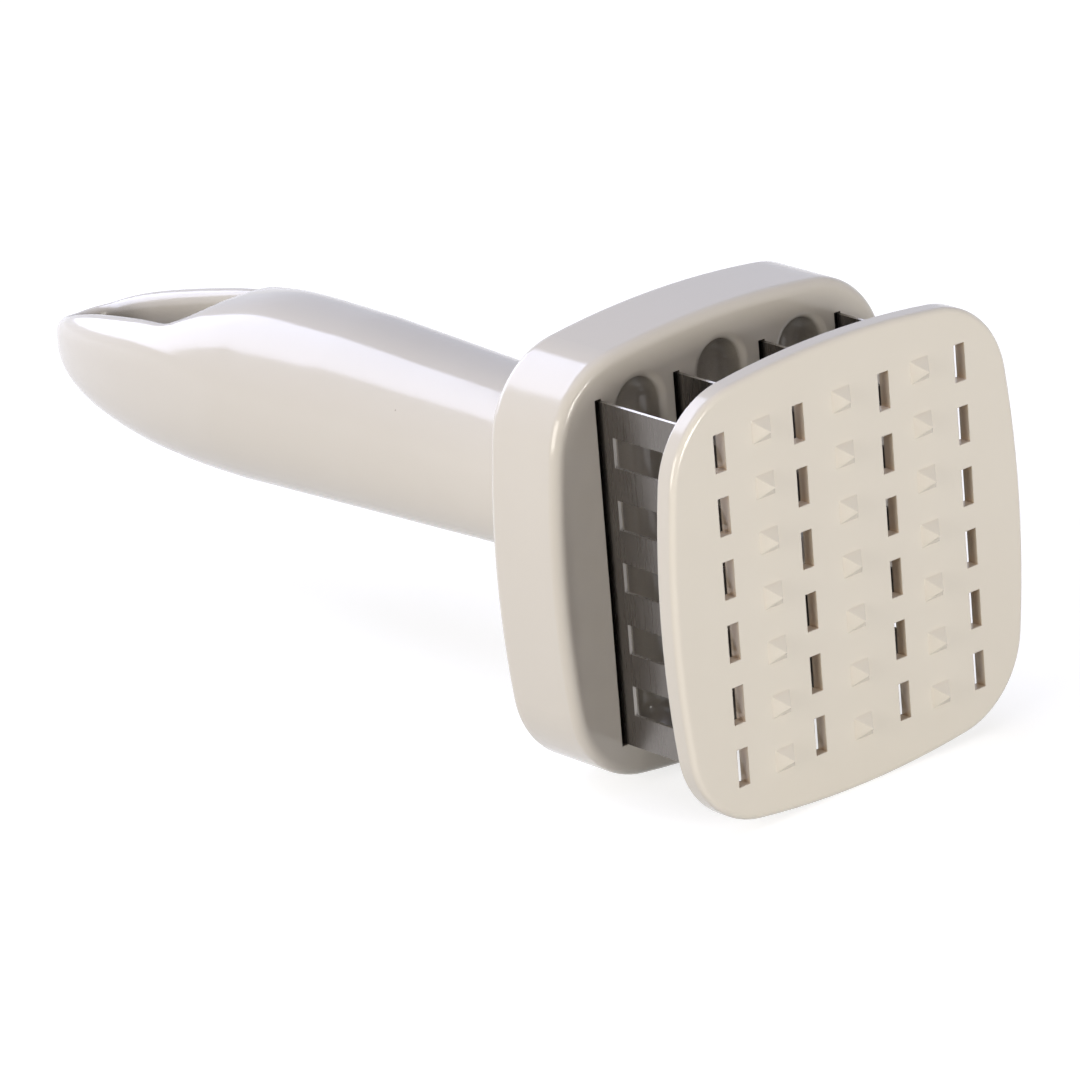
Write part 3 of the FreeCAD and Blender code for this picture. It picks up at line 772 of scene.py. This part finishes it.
spring = bpy.data.objects.new("spring", make_spring())
scene.collection.objects.link(spring)
spring.data.materials.append(finishes["bright_steel"])
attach(spring, "head")
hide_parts("return_spring")
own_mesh(spring)

# %% [markdown]
# ## Table and light
#
# A glossy thing shows its form by what it mirrors, so a product is lit by a few large, soft lamps that
# are placed for their reflections, not by one bright sun. A bluish window behind draws the band along the
# grip and the head's corner, a warm softbox on the left gives the side walls and the flanks of the studs,
# a narrower one in front lights the plate, and a weak wide ceiling fills the tops. The sizes and places
# are those of a small studio.
#
# The table and the backdrop are white to the eye and to mirrors, but dim as a source of light. If they
# lit the object as strongly as they look, light would come from everywhere and the shading would go flat.
# The Light Path node tells the two kinds of ray apart. The table is a real floor, so the object's soft
# shadow still falls on it.

# %% Table
floor_height = cad_low.z
floor_half = 6.0      # in metres, like the two below
shadow_reach = 0.6    # the object's shadow and the lamps' light fall inside this
lamp_reach = 2.5      # beyond this no lamp lights the table, so it glows at full white
glow_near = 0.75      # glow that the lamps' light brings up to white


def seen_directly(tree):
    """1 for rays from the camera, a mirror or glass, 0 for the light that surfaces gather."""
    path = add_node(tree, "ShaderNodeLightPath").outputs
    either = add_node(tree, "ShaderNodeMath", {0: path["Is Camera Ray"], 1: path["Is Glossy Ray"]},
                      operation="MAXIMUM").outputs["Value"]
    return add_node(tree, "ShaderNodeMath", {0: either, 1: path["Is Transmission Ray"]},
                    operation="MAXIMUM").outputs["Value"]


def make_table():
    """Matt white paint that glows for the eye and for mirrors."""
    material, tree, output = new_material("matt_white_paint")
    diffuse = add_node(tree, "ShaderNodeBsdfDiffuse", {"Color": linear("#B8B8B8")})
    place = add_node(tree, "ShaderNodeTexCoord").outputs["Object"]
    away = add_node(tree, "ShaderNodeVectorMath", {0: place}, operation="LENGTH").outputs["Value"]
    lift = add_node(tree, "ShaderNodeMapRange",
                    {"Value": away, "From Min": shadow_reach, "From Max": lamp_reach,
                     "To Min": glow_near, "To Max": 1.0}).outputs["Result"]
    seen = add_node(tree, "ShaderNodeMath", {0: seen_directly(tree), 1: lift}, operation="MULTIPLY")
    glow = add_node(tree, "ShaderNodeEmission", {"Strength": seen.outputs["Value"]})
    both = add_node(tree, "ShaderNodeAddShader", {0: diffuse.outputs[0], 1: glow.outputs[0]})
    tree.links.new(both.outputs[0], output.inputs["Surface"])
    return material


table_mesh = bpy.data.meshes.new("table")
corners = [(-floor_half, -floor_half, floor_height), (floor_half, -floor_half, floor_height),
           (floor_half, floor_half, floor_height), (-floor_half, floor_half, floor_height)]
table_mesh.from_pydata(corners, [], [(0, 1, 2, 3)])
table_mesh.materials.append(make_table())
table_top = bpy.data.objects.new("table", table_mesh)
scene.collection.objects.link(table_top)
print("table at", round(floor_height / MM, 1), "mm, under the lowest point of the tool")

# %% Sky
def make_sky(ambient, seen):
    """Even dim warm light for the surfaces, a cool pale backdrop for mirrors, plain white for the camera."""
    world = bpy.data.worlds.new("studio")
    world.use_nodes = True
    tree = world.node_tree
    tree.nodes.clear()
    output = add_node(tree, "ShaderNodeOutputWorld")
    direct = seen_directly(tree)
    strength = add_node(tree, "ShaderNodeMix", {"Factor": direct, "A": ambient, "B": seen}).outputs["Result"]
    tint = add_node(tree, "ShaderNodeMix",
                    {"Factor": direct, "A": linear("#FFF1E2"), "B": linear("#F3F5FF")},
                    data_type="RGBA").outputs["Result"]
    camera_ray = add_node(tree, "ShaderNodeLightPath").outputs["Is Camera Ray"]
    colour = add_node(tree, "ShaderNodeMix",
                      {"Factor": camera_ray, "A": tint, "B": linear("#FFFFFF")},
                      data_type="RGBA").outputs["Result"]
    sky = add_node(tree, "ShaderNodeBackground", {"Color": colour, "Strength": strength})
    tree.links.new(sky.outputs["Background"], output.inputs["Surface"])
    return world


scene.world = make_sky(ambient=0.09, seen=1.0)
print("sky:", scene.world.name)

# %% Lamps
def soft_lamp(name, place, aim, width, height, brightness, colour):
    """A softbox of width by height at place that faces aim, all in mm. A brightness of 1 is paper white."""
    data = bpy.data.lights.new(name, "AREA")
    data.shape = "RECTANGLE"
    data.size = width * MM
    data.size_y = height * MM
    data.energy = brightness * math.pi * data.size * data.size_y
    data.color = linear(colour)[:3]
    lamp = bpy.data.objects.new(name, data)
    scene.collection.objects.link(lamp)
    direction = Vector(aim) - Vector(place)
    lamp.matrix_world = Matrix.LocRotScale(Vector(place) * MM, direction.to_track_quat("-Z", "Y"), None)
    print(name, "at", place, "mm,", width, "by", height, "mm, brightness", brightness)


soft_lamp("window_behind", (-1085, -150, 665), (-100, 25, 665), 900, 1050, 5.6, "#D0D6EF")
soft_lamp("softbox_left", (35, -970, 250), (-60, 0, 0), 640, 500, 6.35, "#FFF9F0")
soft_lamp("softbox_front", (965, 60, 140), (0, 0, 0), 400, 320, 15.8, "#FFFBF5")
soft_lamp("ceiling", (-100, 0, 1300), (-100, 0, 0), 1400, 1400, 0.75, "#E2E2FF")

# %% [markdown]
# ## Last setting
#
# The picture's colours go through the Standard view transform, and the scene is brought up to date.

# %% Finish
scene.view_settings.view_transform = "Standard"
bpy.context.view_layer.update()
